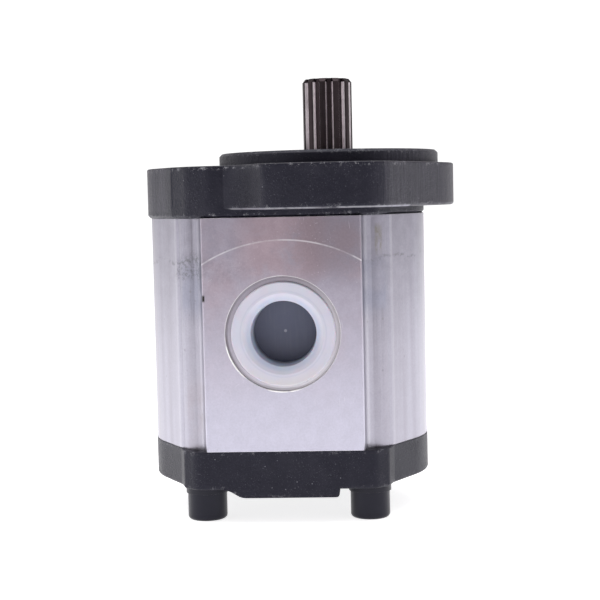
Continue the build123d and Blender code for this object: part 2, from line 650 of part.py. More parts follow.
with BuildPart() as shaft_seal_lip:
    # Rubber: a collar under the case's flange, a thin dust lip, and the sealing lip that hangs from it.
    lip_r = JOURNAL_R + JOURNAL_CLEARANCE
    collar_r = SEAL_R - SEAL_SHEET - FIT_GAP
    collar_top = CASE_TOP - SEAL_SHEET - FIT_GAP
    spring_seat_r = SPRING_R - SPRING_WIRE_R - SEAL_GAP
    with BuildSketch(Plane.XZ):
        with BuildLine():
            Polyline(
                (collar_r, collar_top),
                (collar_r, collar_top - SEAL_COLLAR),
                (SPRING_R, collar_top - SEAL_COLLAR),
                (spring_seat_r, SPRING_Z + SPRING_WIRE_R),
                (spring_seat_r, SPRING_Z - SPRING_WIRE_R - SEAL_GAP),
                (SPRING_R, SPRING_Z - SPRING_WIRE_R - SEAL_GAP),
                (SPRING_R, SPRING_Z - SEAL_LIP_DROP),
                (lip_r + SEAL_LIP_WALL, SPRING_Z - SEAL_LIP_DROP),
                (lip_r, SPRING_Z),
                (lip_r + SEAL_LIP_WALL, collar_top - SEAL_COLLAR / 2),
                (lip_r, collar_top + SEAL_DUST_LIP),
                (SEAL_INNER_R - SEAL_GAP, collar_top + SEAL_DUST_LIP),
                (SEAL_INNER_R - SEAL_GAP, collar_top),
                close=True,
            )
        make_face()
    revolve(axis=Axis.Z)
shaft_seal_lip.part.label = "shaft_seal_lip"
export_step(shaft_seal_lip.part, "parts/shaft_seal_lip.step")

with BuildPart() as shaft_seal_spring:
    with BuildSketch(Plane.XZ):
        with Locations((SPRING_R, SPRING_Z)):
            Circle(SPRING_WIRE_R)
    revolve(axis=Axis.Z)
shaft_seal_spring.part.label = "shaft_seal_spring"
export_step(shaft_seal_spring.part, "parts/shaft_seal_spring.step")

with BuildPart() as retaining_ring:
    # A flat internal ring, open at one side, with an eye at each end for the pliers.
    ring_r = RING_GROOVE_R - FIT_GAP
    eye_r = ring_r - RING_EYE_INSET
    eye_angles = [radians(RING_EYE_ANGLE), radians(180 - RING_EYE_ANGLE)]
    eye_places = [(eye_r * cos(angle), eye_r * sin(angle)) for angle in eye_angles]
    with BuildSketch(Plane.XY.offset(SEAL_TOP + FIT_GAP)):
        Circle(ring_r)
        Circle(ring_r - RING_WIDTH, mode=Mode.SUBTRACT)
        with Locations(*eye_places):
            Circle(RING_EYE_R)
        with Locations((0, ring_r)):
            Rectangle(RING_OPENING, 3 * RING_WIDTH, mode=Mode.SUBTRACT)
        with Locations(*eye_places):
            Circle(RING_EYE_HOLE_R, mode=Mode.SUBTRACT)
    extrude(amount=RING_THICKNESS)
retaining_ring.part.label = "retaining_ring"
export_step(retaining_ring.part, "parts/retaining_ring.step")

# ================= Fasteners =================

WASHER_FACE = REAR_FACE - WASHER_THICKNESS
HEAD_FACE = WASHER_FACE - SCREW_HEAD_HEIGHT

with BuildPart() as cap_screws:
    with BuildSketch(body_plane(HEAD_FACE)):
        with Locations(*screw_places):
            Circle(SCREW_HEAD_R)
    extrude(amount=SCREW_HEAD_HEIGHT)
    fillet(cap_screws.edges().group_by(Axis.Z)[0], SCREW_HEAD_EDGE_R)
    with BuildSketch(body_plane(HEAD_FACE)):
        with Locations(*screw_places):
            RegularPolygon(SCREW_HEX / 2, 6, major_radius=False)
    extrude(amount=SCREW_HEX_DEPTH, mode=Mode.SUBTRACT)
    with BuildSketch(body_plane(WASHER_FACE)):
        with Locations(*screw_places):
            Circle(SCREW_R)
    extrude(amount=SCREW_TIP_Z - WASHER_FACE)
    chamfer(cap_screws.edges().group_by(Axis.Z)[-1], SCREW_TIP_CHAMFER)
cap_screws.part.label = "cap_screws"
export_step(cap_screws.part, "parts/cap_screws.step")

with BuildPart() as lock_washers:
    with BuildSketch(body_plane(WASHER_FACE)):
        with Locations(*screw_places):
            Circle(WASHER_R)
            Circle(SCREW_R + WASHER_GAP, mode=Mode.SUBTRACT)
        with Locations(*[(x + WASHER_R, y) for x, y in screw_places]):
            Rectangle(2 * (WASHER_R - SCREW_R), WASHER_SPLIT, rotation=WASHER_SLANT, mode=Mode.SUBTRACT)
    extrude(amount=WASHER_THICKNESS)
lock_washers.part.label = "lock_washers"
export_step(lock_washers.part, "parts/lock_washers.step")

for end, joint_face in (("front", BODY_TOP), ("rear", BODY_BOTTOM)):
    with BuildPart() as dowels:
        with BuildSketch(body_plane(joint_face - DOWEL_HALF_LENGTH)):
            with Locations(*dowel_places):
                Circle(DOWEL_R)
        extrude(amount=2 * DOWEL_HALF_LENGTH)
        chamfer(dowels.edges().filter_by(GeomType.CIRCLE), DOWEL_CHAMFER)
    dowels.part.label = f"{end}_dowels"
    export_step(dowels.part, f"parts/{dowels.part.label}.step")

# ================= Transport plugs =================

for name, side in (("inlet_plug", -1), ("outlet_plug", 1)):
    with BuildPart() as plug:
        add(plug_section(side))
        revolve(axis=cross_axis(BODY_X + PLUG_SHIFT, PORT_Z))
    plug.part.label = name
    export_step(plug.part, f"parts/{name}.step")
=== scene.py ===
"""Looks for the gear pump: materials, floor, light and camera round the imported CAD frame."""

import math

import bpy
from mathutils import Matrix, Vector


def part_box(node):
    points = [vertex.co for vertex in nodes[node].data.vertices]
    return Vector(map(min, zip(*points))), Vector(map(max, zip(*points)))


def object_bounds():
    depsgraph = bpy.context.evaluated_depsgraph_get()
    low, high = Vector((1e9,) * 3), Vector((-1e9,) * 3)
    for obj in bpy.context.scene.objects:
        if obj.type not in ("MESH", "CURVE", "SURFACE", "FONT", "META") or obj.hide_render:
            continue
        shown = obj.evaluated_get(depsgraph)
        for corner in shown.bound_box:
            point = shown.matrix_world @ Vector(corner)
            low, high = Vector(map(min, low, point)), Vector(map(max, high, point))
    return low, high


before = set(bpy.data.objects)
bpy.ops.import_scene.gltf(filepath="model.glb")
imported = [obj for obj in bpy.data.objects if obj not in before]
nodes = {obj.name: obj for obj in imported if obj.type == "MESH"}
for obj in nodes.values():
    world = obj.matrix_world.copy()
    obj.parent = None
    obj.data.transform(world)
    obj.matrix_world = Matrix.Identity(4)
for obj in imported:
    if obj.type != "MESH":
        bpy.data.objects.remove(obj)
cad_low, cad_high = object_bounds()

MM = 0.001

# ---- Where the main surfaces are, in millimetres, from the frame ----
body_low, body_high = (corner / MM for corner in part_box("pump_body"))
_, cover_high = (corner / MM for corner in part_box("front_cover"))
plug_low, plug_high = (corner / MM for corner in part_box("inlet_plug"))
BODY_X = (body_low.x + body_high.x) / 2
BOSS_Y = body_high.y
BODY_MIDDLE = (body_low.z + body_high.z) / 2
SHAFT_TOP = cad_high.z / MM
PLUG_X = (plug_high.x + plug_low.x) / 2
PLUG_Z = (plug_high.z + plug_low.z) / 2
PORT_Z = BODY_MIDDLE + 0.35
SPOT_FACE_R = 20.4
BOSS_HALF = 28.4
SIDE_CORNER = (38.9, 31.8)  # where a slanted side ends: across from the middle, and out along Y
SPLINE_ROOT = (7.62, 7.8)  # radii between which the shine of a tooth's flank begins
SPLINE_TIP = (8.75, 9.0)  # and between which it ends
CUP_FLOOR_R = (11.35, 11.6)
CUP_FLOOR_DEPTH = (11.4, 11.9)

# ---- Marks on the covers, in millimetres ----
LINISHED_RIGHT = (14.0, 24.0)  # the ground ends of the flange begin between these places along X
LINISHED_LEFT = (-56.5, -60.0)
LINISHED_Z = (-17.0, -15.5)
EDGE_HIGHLIGHT_Z = -15.35  # a painted highlight along the lower edge of the flange's ears, where it faces the floor
EDGE_HIGHLIGHT_OUT = (43.2, 44.5)

# ---- Marks on the body, in millimetres ----
MILL_X, MILL_Z, MILL_R = -15.6, -80.4, 53.9  # the face mill's last circle
TIDE_Z = -33.9
NICK_Z = -46.8
STAIN = (18.2, -27.0)
NEAR_BOSS_Y = (-41.0, -42.0)  # marks of the near side alone begin between these places along Y
NEAR_SIDE_Y = (-34.0, -35.0)
HANDLED = (2.0, -27.0)
RUSTY = (-48.5, -97.0)
PINK = (-15.0, -28.0)
BLUISH_Z = -43.0

# ---- Marks on the plugs: their radii, in millimetres ----
HALO_R = 13.3
DIP_R = 15.2
GATE_R = (0.35, 0.7)

# ---- Colours used more than once ----
OIL_SHEEN = (0.82, 0.82, 1.0, 1.0)
GRIME = (0.12, 0.12, 0.13)

GRAIN_DEPTH = 0.01  # of the inner pieces' finish, in millimetres
EDGE_SAMPLES = 6
CORNER_SAMPLES = 4


def connect(tree, value, socket):
    """Feeds a socket from another socket, or sets it to a number, colour or vector."""
    if isinstance(value, bpy.types.NodeSocket):
        tree.links.new(value, socket)
    elif isinstance(value, (tuple, list)) and len(value) == 3 and socket.type == "RGBA":
        socket.default_value = (*value, 1.0)
    else:
        socket.default_value = value


def add_node(tree, kind, inputs, output=0, **settings):
    """Adds a shader node with these inputs and settings, and returns one of its outputs."""
    made = tree.nodes.new("ShaderNode" + kind)
    for key, value in settings.items():
        setattr(made, key, value)
    for key, value in inputs.items():
        connect(tree, value, made.inputs[key])
    return made.outputs[output]


class Shader:
    """A node material under construction, with places in millimetres.

    finish returns the material; every other method returns one or more output sockets.
    """

    def __init__(self, name):
        self.material = bpy.data.materials.new(name)
        self.material.use_nodes = True
        self.tree = self.material.node_tree
        self.surface = self.tree.nodes["Principled BSDF"]
        coordinates = self.tree.nodes.new("ShaderNodeTexCoord")
        self.place = self.vector("SCALE", coordinates.outputs["Object"], scale=1 / MM)
        self.x, self.y, self.z = self.split(self.place)

    def node(self, kind, inputs, output=0, **settings):
        return add_node(self.tree, kind, inputs, output, **settings)

    def math(self, operation, *values):
        return self.node("Math", dict(enumerate(values)), operation=operation)

    def vector(self, operation, *values, scale=None):
        inputs = dict(enumerate(values))
        if scale is not None:
            inputs["Scale"] = scale
        return self.node("VectorMath", inputs, operation=operation)

    def dot(self, a, b):
        return self.node("VectorMath", {0: a, 1: b}, output="Value", operation="DOT_PRODUCT")

    def split(self, vector):
        made = self.tree.nodes.new("ShaderNodeSeparateXYZ")
        self.tree.links.new(vector, made.inputs[0])
        return made.outputs[0], made.outputs[1], made.outputs[2]

    def join(self, x, y, z):
        return self.node("CombineXYZ", {0: x, 1: y, 2: z})

    def stretched(self, x, y, z):
        """The place scaled by its own factor along each axis."""
        return self.vector("MULTIPLY", self.place, (x, y, z))

    def noise(self, scale, detail=3.0, roughness=0.55, at=None):
        inputs = {
            "Vector": at or self.place,
            "Scale": scale,
            "Detail": detail,
            "Roughness": roughness,
        }
        return self.node("TexNoise", inputs, noise_dimensions="3D")

    def cells(self, scale):
        """The distance to the nearest of many scattered points."""
        inputs = {"Vector": self.place, "Scale": scale}
        return self.node("TexVoronoi", inputs, output="Distance")

    def ramp(self, value, low, high, to_low=0.0, to_high=1.0, smooth=True):
        """value between low and high, mapped to to_low .. to_high and clamped."""
        inputs = {"Value": value, 1: low, 2: high, 3: to_low, 4: to_high}
        kind = "SMOOTHSTEP" if smooth else "LINEAR"
        return self.node("MapRange", inputs, interpolation_type=kind)

    def band(self, value, centre, half_width, edge):
        """1 where value is within half_width of centre, fading over edge."""
        away = self.math("ABSOLUTE", self.math("SUBTRACT", value, centre))
        return self.ramp(away, half_width, half_width + edge, 1.0, 0.0)

    def both(self, *masks):
        """The product of all these masks."""
        total = masks[0]
        for mask in masks[1:]:
            total = self.math("MULTIPLY", total, mask)
        return total

    def between(self, data_type, suffix, factor, a, b):
        """a to b by factor, in the mix node's sockets whose names end in suffix."""
        made = self.tree.nodes.new("ShaderNodeMix")
        made.data_type = data_type
        for key, value in (("Factor_Float", factor), ("A_" + suffix, a), ("B_" + suffix, b)):
            connect(self.tree, value, next(s for s in made.inputs if s.identifier == key))
        return next(s for s in made.outputs if s.identifier == "Result_" + suffix)

    def mix(self, factor, a, b):
        """Colours a to b by factor."""
        return self.between("RGBA", "Color", factor, a, b)

    def over(self, colour, paint, mask, share):
        """The colour with a share of the paint over it where the mask is 1."""
        return self.mix(self.math("MULTIPLY", mask, share), colour, paint)

    def blend(self, factor, a, b):
        """Numbers a to b by factor."""
        return self.between("FLOAT", "Float", factor, a, b)

    def edges(self, distance):
        """1 at outward edges, 0 on flats and inward corners."""
        inputs = {"Distance": distance * MM}
        settings = {"inside": True, "samples": EDGE_SAMPLES}
        open_share = self.node("AmbientOcclusion", inputs, output="AO", **settings)
        return self.math("SUBTRACT", 1.0, open_share)

    def eased(self, radius):
        """The surface's normal with its corners rounded off by radius."""
        return self.node("Bevel", {"Radius": radius * MM}, samples=CORNER_SAMPLES)

    def bump(self, height, depth, normal=None):
        """height from 0 to 1 stands for depth millimetres."""
        inputs = {"Height": height, "Distance": depth * MM, "Strength": 1.0}
        if normal is not None:
            inputs["Normal"] = normal
        return self.node("Bump", inputs)

    def shade(self, colour, factor):
        """The colour times factor."""
        return self.vector("SCALE", colour, scale=factor)

    def hypotenuse(self, a, b):
        """The square root of a squared plus b squared."""
        squares = self.math("MULTIPLY", a, a), self.math("MULTIPLY", b, b)
        return self.math("SQRT", self.math("ADD", *squares))

    def around(self, x, z):
        """The distance from the line through (x, z) along Y."""
        return self.hypotenuse(self.math("SUBTRACT", self.x, x), self.math("SUBTRACT", self.z, z))

    def scratches(self, angle, length, width, share):
        """Sparse straight scratches on a face across Y, turned by angle degrees from the Z axis."""
        lean = 0.05
        cosine, sine = math.cos(math.radians(angle)), math.sin(math.radians(angle))
        across = self.dot(self.place, (cosine / width, lean, sine / width))
        along = self.dot(self.place, (-sine / length, lean, cosine / length))
        streaks = self.noise(1.0, 2, 0.4, at=self.join(across, along, angle))
        return self.ramp(streaks, 1 - share, 1 - share + 0.05)

    def finish(self, **inputs):
        """Sets the surface's own inputs, each named in small letters with underscores."""
        for key, value in inputs.items():
            name = key.replace("_", " ").title().replace("Ior", "IOR")
            connect(self.tree, value, self.surface.inputs[name])
        return self.material


def give(material, *names):
    """Puts the material in the only slot of each of these CAD nodes."""
    for name in names:
        nodes[name].data.materials.clear()
        nodes[name].data.materials.append(material)


# ================= Materials =================


def cast_iron():
    """Black casting: fine grain, pits, tiny bright specks, rubbed edges and linished ends, with a
    painted highlight along the flange's lower edge.
    """
    s = Shader("cast_cover")
    grain = s.noise(1.3, 5, 0.65)
    lumps = s.noise(0.35, 3, 0.5)
    pits = s.ramp(s.cells(0.8), 0.05, 0.3)
    ends = s.math("MAXIMUM", s.ramp(s.x, *LINISHED_RIGHT), s.ramp(s.x, *LINISHED_LEFT))
    linished = s.both(ends, s.ramp(s.z, *LINISHED_Z))
    marks = s.noise(1.0, 5, 0.75, at=s.stretched(0.9, 0.9, 0.045))
    pebbles = s.ramp(s.noise(0.9, 4, 0.7), 0.35, 0.7)
    as_cast = s.ramp(s.noise(0.05, 2), 0.42, 0.58, 0.35, 1.0)
    height = s.math("ADD", s.math("MULTIPLY", grain, 0.5), s.math("MULTIPLY", lumps, 0.6))
    height = s.math("ADD", height, s.both(pebbles, as_cast, 0.9))
    height = s.math("ADD", height, s.math("MULTIPLY", pits, 0.25))
    height = s.math("ADD", height, s.both(marks, linished, 0.15))
    specks = s.both(
        s.ramp(s.cells(0.42), 0.05, 0.11, 1.0, 0.0),
        s.ramp(s.noise(0.4, 2), 0.52, 0.6),
    )
    chips = s.both(s.ramp(s.edges(2.5), 0.2, 0.4), s.ramp(s.noise(0.5, 5, 0.8), 0.54, 0.62))
    # Painted highlight: a light line along the lower edge of the flange's ears, where it faces the
    # floor.
    edge_highlight = s.both(
        s.band(s.z, EDGE_HIGHLIGHT_Z, 0.2, 0.25),
        s.ramp(s.math("ABSOLUTE", s.y), *EDGE_HIGHLIGHT_OUT),
        s.ramp(s.noise(0.05, 3), 0.35, 0.5),
        s.ramp(s.noise(0.5, 3), 0.3, 0.5, 0.55, 1.0),
    )
    dust = s.ramp(s.noise(0.09, 4, 0.6), 0.42, 0.8)
    sparkle = s.both(
        s.ramp(s.noise(2.6, 2, 0.6), 0.6, 0.72),
        s.ramp(s.noise(0.12, 4, 0.7), 0.35, 0.65, 0.25, 1.0),
    )
    colour = s.mix(lumps, (0.005, 0.005, 0.0095), (0.0095, 0.0092, 0.016))
    colour = s.over(colour, (0.06, 0.058, 0.072), dust, 0.12)
    worn = s.both(linished, s.ramp(marks, 0.3, 0.7), s.ramp(grain, 0.3, 0.6, 0.4, 1.0))
    colour = s.over(colour, (0.08, 0.075, 0.095), worn, 0.5)
    colour = s.over(colour, (0.17, 0.17, 0.19), sparkle, 0.4)
    colour = s.over(colour, (0.3, 0.3, 0.34), specks, 0.5)
    chipped = s.both(chips, s.ramp(s.z, -90.0, -20.0, 0.3, 0.8))
    colour = s.mix(chipped, colour, (0.5, 0.5, 0.53))
    colour = s.over(colour, (0.42, 0.42, 0.45), edge_highlight, 0.6)
    return s.finish(
        base_color=colour,
        roughness=s.blend(grain, 0.34, 0.5),
        specular_ior_level=0.3,
        specular_tint=OIL_SHEEN,
        metallic=s.math("MAXIMUM", s.math("MULTIPLY", chips, 0.6), s.math("MULTIPLY", edge_highlight, 0.6)),
        normal=s.bump(height, 0.10, s.eased(0.5)),
    )


def body_aluminium():
    """Extruded aluminium: drawn sides, milled bosses, turned spot faces, scratches and stains."""
    s = Shader("body")
    across = s.math("ABSOLUTE", s.math("SUBTRACT", s.x, BODY_X))
    out = s.math("ABSOLUTE", s.y)
    on_boss = s.ramp(out, BOSS_Y - 0.7, BOSS_Y - 0.5)
    from_port = s.around(BODY_X, PORT_Z)
    # The cutter's arcs sweep across the boss and leave one stop mark, with a duller area above it.
    from_cutter = s.around(MILL_X, MILL_Z)
    above = s.ramp(from_cutter, MILL_R - 0.2, MILL_R + 0.4)
    faded = s.ramp(s.noise(0.07, 4, 0.7), 0.4, 0.6, 0.2, 1.0)
    stop_mark = s.both(s.band(from_cutter, MILL_R, 0.1, 0.28), on_boss, faded)
    along_arcs = s.join(s.math("MULTIPLY", from_cutter, 1.6), s.math("MULTIPLY", s.x, 0.03), 0.0)
    feed = s.noise(1.0, 3, 0.6, at=along_arcs)
    turned = s.noise(1.0, 2, 0.6, at=s.join(s.math("MULTIPLY", from_port, 3.0), 0.0, 4.0))
    on_spot = s.ramp(from_port, SPOT_FACE_R - 0.1, SPOT_FACE_R + 0.1, 1.0, 0.0)
    drawn = s.noise(1.0, 3, 0.5, at=s.stretched(0.6, 0.6, 0.006))
    broad = s.noise(1.0, 2, 0.5, at=s.stretched(0.16, 0.16, 0.004))
    cloud = s.noise(0.055, 5, 0.65)
    mottle = s.noise(0.16, 5, 0.7)
    grit = s.noise(1.4, 3, 0.7)
    height_share = s.ramp(s.z, body_low.z, body_high.z, smooth=False)
    # Colour: clean lavender grey below; towards the top, painted shade from the cover above makes
    # it darker and pinker, in clouds of pink patina, and a handled patch on the boss is darker
    # still.
    clean = s.mix(mottle, (0.465, 0.455, 0.54), (0.495, 0.485, 0.575))
    pink = s.both(
        s.band(s.x, PINK[0], 8.0, 18.0),
        s.band(s.z, PINK[1], 7.0, 14.0),
        s.ramp(cloud, 0.3, 0.52),
    )
    pink = s.math("MAXIMUM", pink, s.ramp(cloud, 0.42, 0.7, 0.25, 0.75))
    top_shade_colour = s.mix(pink, (0.365, 0.35, 0.425), (0.395, 0.31, 0.35))
    colour = s.mix(s.ramp(height_share, 0.05, 0.85, 0.0, 0.95), clean, top_shade_colour)
    handled = s.both(
        s.band(s.x, HANDLED[0], 5.0, 15.0),
        s.band(s.z, HANDLED[1], 6.0, 14.0),
        s.ramp(mottle, 0.3, 0.6, 0.7, 1.0),
    )
    sides = s.mix(s.ramp(broad, 0.35, 0.65), (0.38, 0.365, 0.425), (0.45, 0.44, 0.51))
    sides = s.mix(s.both(s.ramp(drawn, 0.5, 0.75), 0.16), sides, (0.31, 0.295, 0.335))
    # Painted light: the strip beside the boss's step is lightened against the shade of its inward
    # corner.
    step_fill_light = s.band(across, BOSS_HALF + 0.6, 0.7, 0.9)
    sides = s.over(sides, (0.75, 0.74, 0.81), step_fill_light, 0.35)
    bluish = s.both(
        s.band(s.z, BLUISH_Z, 5.0, 9.0),
        s.band(across, 32.5, 3.5, 2.0),
        s.ramp(s.noise(0.12, 4, 0.6), 0.35, 0.6, 0.3, 0.8),
    )
    sides = s.over(sides, (0.30, 0.315, 0.40), bluish, 0.8)
    # Painted shade: the sides darker towards the top, under the cover.
    sides = s.mix(s.ramp(height_share, 0.35, 1.0, 0.0, 0.5), sides, (0.25, 0.24, 0.29))
    rusty = s.both(
        s.band(s.x, RUSTY[0], 2.0, 2.5),
        s.band(s.z, RUSTY[1], 10.0, 16.0),
        s.ramp(cloud, 0.35, 0.6),
    )
    sides = s.over(sides, (0.36, 0.29, 0.28), rusty, 0.3)
    colour = s.mix(on_boss, s.shade(sides, 0.88), colour)
    tone = s.ramp(grit, 0.25, 0.75, 0.95, 1.05)
    # Painted shade: the tone darker towards the top, under the cover.
    top_shade_tone = s.ramp(height_share, 0.3, 0.9, 0.98, 0.9)
    tone = s.both(tone, s.ramp(mottle, 0.3, 0.7, top_shade_tone, 1.05))
    tone = s.both(tone, s.blend(s.both(above, on_boss), 1.0, 0.95))
    tone = s.both(tone, s.blend(s.both(handled, on_boss), 1.0, 0.71))
    colour = s.shade(colour, tone)
    # Painted shade and light on the spot face: darker and pinker towards the upper left, paler
    # towards the lower right. Its rim has painted shadows and highlights, with more contrast at the
    # lower left.
    across_port = s.dot(s.place, (0.8, 0.0, -0.6))
    port_middle = 0.8 * BODY_X - 0.6 * PORT_Z
    low_right = s.ramp(across_port, port_middle - 12.0, port_middle + 14.0)
    annulus = s.both(on_spot, on_boss, s.ramp(s.noise(0.07, 3), 0.3, 0.6, 0.4, 0.7))
    colour = s.mix(annulus, colour, s.mix(low_right, (0.27, 0.235, 0.26), (0.74, 0.71, 0.70)))
    rim = s.both(on_boss, s.ramp(s.noise(0.09, 2), 0.35, 0.6, 0.6, 1.0))
    across_body = s.dot(s.place, (-0.6, 0.0, -0.8))
    middle = -0.6 * BODY_X - 0.8 * BODY_MIDDLE
    low_left = s.ramp(across_body, middle - 10.0, middle + 16.0)
    # Painted shadow round the inside of the rim, heavier at the lower left.
    rim_shadow = s.both(
        s.band(from_port, SPOT_FACE_R - 0.4, 0.22, 0.3),
        rim,
        s.blend(low_left, 0.4, 1.0),
    )
    # Painted shadow under the plug's flange, at the bottom of the rim.
    flange_shadow = s.both(
        s.band(from_port, SPOT_FACE_R - 0.55, 0.4, 0.3),
        s.ramp(s.z, PORT_Z - 17.0, PORT_Z - 19.5),
        s.ramp(s.x, BODY_X + 8.0, BODY_X + 2.0),
        on_boss,
    )
    rim_shadow = s.math("MAXIMUM", rim_shadow, s.math("MULTIPLY", flange_shadow, 0.8))
    # Painted highlight on the rim's outer edge, and painted glints just outside it at the lower
    # left.
    rim_highlight = s.both(s.band(from_port, SPOT_FACE_R + 0.12, 0.05, 0.16), rim)
    glint = s.both(
        s.band(from_port, SPOT_FACE_R + 0.2, 0.14, 0.2),
        s.ramp(low_left, 0.9, 1.0),
        s.ramp(s.noise(0.1, 3, 0.6), 0.42, 0.56),
        on_boss,
    )
    colour = s.over(colour, (0.05, 0.04, 0.035), rim_shadow, 0.92)
    colour = s.over(colour, (0.9, 0.9, 0.88), rim_highlight, 0.45)
    colour = s.mix(glint, colour, (1.0, 1.0, 0.97))
    # Wear and dirt, with painted highlights on the edges and down the side corners.
    # Rubbed outward edges, lightened also as a painted highlight.
    edge = s.both(
        s.ramp(s.edges(0.5), 0.3, 0.5),
        s.ramp(s.noise(0.25, 4, 0.7), 0.35, 0.6, 0.35, 1.0),
    )
    # Painted highlight down the corner where each slanted side meets the shoulder.
    corner = s.both(
        s.band(across, SIDE_CORNER[0], 0.25, 0.7),
        s.band(out, SIDE_CORNER[1], 0.25, 0.7),
        s.ramp(broad, 0.3, 0.6, 0.5, 1.0),
    )
    wander = s.math("MULTIPLY", s.math("SUBTRACT", s.noise(0.11, 4, 0.6), 0.5), 9.0)
    tide_z = s.math("ADD", s.z, wander)
    tide = s.both(
        s.band(tide_z, TIDE_Z, 0.15, 0.9),
        s.math("SUBTRACT", 1.0, on_boss),
        s.ramp(s.noise(0.5, 4, 0.75), 0.44, 0.62),
        s.ramp(s.noise(0.045, 2), 0.38, 0.55, 0.2, 1.0),
    )
    smudge = s.both(
        s.band(tide_z, TIDE_Z - 2.0, 2.0, 4.0),
        s.band(out, 37.0, 4.0, 3.0),
        s.ramp(s.x, BODY_X, BODY_X - 20.0),
        s.ramp(s.noise(0.9, 4, 0.8), 0.44, 0.62),
    )
    nick = s.both(
        s.band(s.x, BODY_X - BOSS_HALF, 0.7, 0.5),
        s.band(s.z, NICK_Z, 0.6, 1.0),
        s.ramp(s.y, *NEAR_BOSS_Y),
        s.ramp(grit, 0.25, 0.4),
    )
    stain = s.both(
        s.band(s.x, STAIN[0], 0.8, 0.9),
        s.band(s.z, STAIN[1], 3.5, 3.0),
        s.ramp(s.y, *NEAR_SIDE_Y),
        s.ramp(s.noise(0.35, 5, 0.75, at=s.stretched(1.6, 1.0, 0.6)), 0.3, 0.75),
    )
    spots = s.both(
        s.ramp(s.cells(0.23), 0.07, 0.13, 1.0, 0.0),
        s.ramp(s.noise(0.1, 2), 0.55, 0.6),
    )
    scratches = s.scratches(6, 9, 0.3, 0.29), s.scratches(-58, 6, 0.28, 0.26)
    light_scratches = s.both(
        s.math("MAXIMUM", *scratches),
        on_boss,
        s.ramp(s.noise(0.06, 2), 0.42, 0.6, 0.1, 0.45),
    )
    flecks = s.both(
        s.ramp(s.cells(0.9), 0.08, 0.2, 1.0, 0.0),
        s.ramp(s.noise(0.13, 3, 0.6), 0.5, 0.62),
        s.ramp(height_share, 0.5, 0.75),
        on_boss,
    )
    upright = s.noise(1.0, 3, 0.6, at=s.stretched(2.2, 2.2, 0.035))
    dark_scratches = s.both(
        s.ramp(s.both(upright, s.band(across, 33.0, 3.0, 2.5)), 0.56, 0.68),
        s.ramp(s.noise(0.05, 2), 0.4, 0.6),
    )
    colour = s.over(colour, GRIME, tide, 0.6)
    colour = s.over(colour, GRIME, smudge, 0.6)
    colour = s.over(colour, (0.2, 0.19, 0.2), spots, 0.4)
    colour = s.over(colour, (0.17, 0.15, 0.09), stain, 0.65)
    colour = s.over(colour, (0.17, 0.16, 0.17), dark_scratches, 0.3)
    colour = s.mix(light_scratches, colour, (0.8, 0.79, 0.82))
    colour = s.over(colour, (0.75, 0.73, 0.77), flecks, 0.3)
    colour = s.over(colour, (0.85, 0.84, 0.87), stop_mark, 0.5)
    colour = s.over(colour, (0.92, 0.91, 0.94), edge, 0.65)
    colour = s.over(colour, (0.92, 0.91, 0.95), corner, 0.12)
    colour = s.mix(nick, colour, (0.015, 0.013, 0.013))
    machined = s.blend(on_spot, feed, turned)
    height = s.blend(on_boss, s.math("MULTIPLY", drawn, 0.3), s.math("MULTIPLY", machined, 0.6))
    height = s.math("ADD", height, s.math("MULTIPLY", grit, 0.35))
    return s.finish(
        base_color=colour,
        metallic=0.92,
        roughness=s.math("ADD", s.blend(mottle, 0.27, 0.37), s.both(above, on_boss, 0.05)),
        normal=s.bump(height, 0.014, s.eased(0.4)),
    )


def dark_steel():
    """Oiled blackened steel: the tops of the teeth stay dark and their worn flanks shine."""
    s = Shader("shaft_steel")
    from_axis = s.hypotenuse(s.x, s.y)
    on_spline = s.ramp(s.z, cover_high.z - 2.0, cover_high.z - 1.5)
    below_end = s.ramp(s.z, SHAFT_TOP - 1.5, SHAFT_TOP - 1.2, 1.0, 0.0)
    flank = s.both(
        on_spline,
        below_end,
        s.ramp(from_axis, *SPLINE_ROOT),
        s.ramp(from_axis, *SPLINE_TIP, 1.0, 0.0),
    )
    patina = s.noise(0.2, 4, 0.6)
    lines = s.noise(1.0, 4, 0.6, at=s.stretched(2.5, 2.5, 0.04))
    specks = s.ramp(s.noise(1.6, 3, 0.7), 0.62, 0.72)
    black = s.mix(patina, (0.024, 0.017, 0.019), (0.052, 0.042, 0.045))
    bright = s.mix(lines, (0.72, 0.66, 0.69), (0.97, 0.91, 0.93))
    colour = s.mix(s.both(flank, s.ramp(patina, 0.3, 0.7, 0.75, 1.0)), black, bright)
    colour = s.over(colour, (0.3, 0.28, 0.28), specks, 0.08)
    return s.finish(
        base_color=colour,
        metallic=1.0,
        roughness=s.blend(lines, 0.24, 0.4),
        normal=s.bump(lines, 0.012, s.eased(0.15)),
    )


def black_oxide(name, base, roughness):
    """Blackened small parts, with their edges rubbed bright here and there."""
    s = Shader(name)
    grain = s.noise(2.0, 4, 0.65)
    smear = s.noise(0.3, 4, 0.6)
    rub = s.both(s.ramp(s.edges(0.4), 0.35, 0.6), s.ramp(s.noise(0.7, 3), 0.5, 0.65))
    colour = s.mix(smear, base, tuple(2.0 * c for c in base))
    colour = s.over(colour, (0.25, 0.25, 0.28), rub, 0.3)
    return s.finish(
        base_color=colour,
        specular_ior_level=0.32,
        specular_tint=OIL_SHEEN,
        roughness=s.blend(smear, roughness - 0.06, roughness + 0.08),
        normal=s.bump(grain, 0.025, s.eased(0.25)),
    )


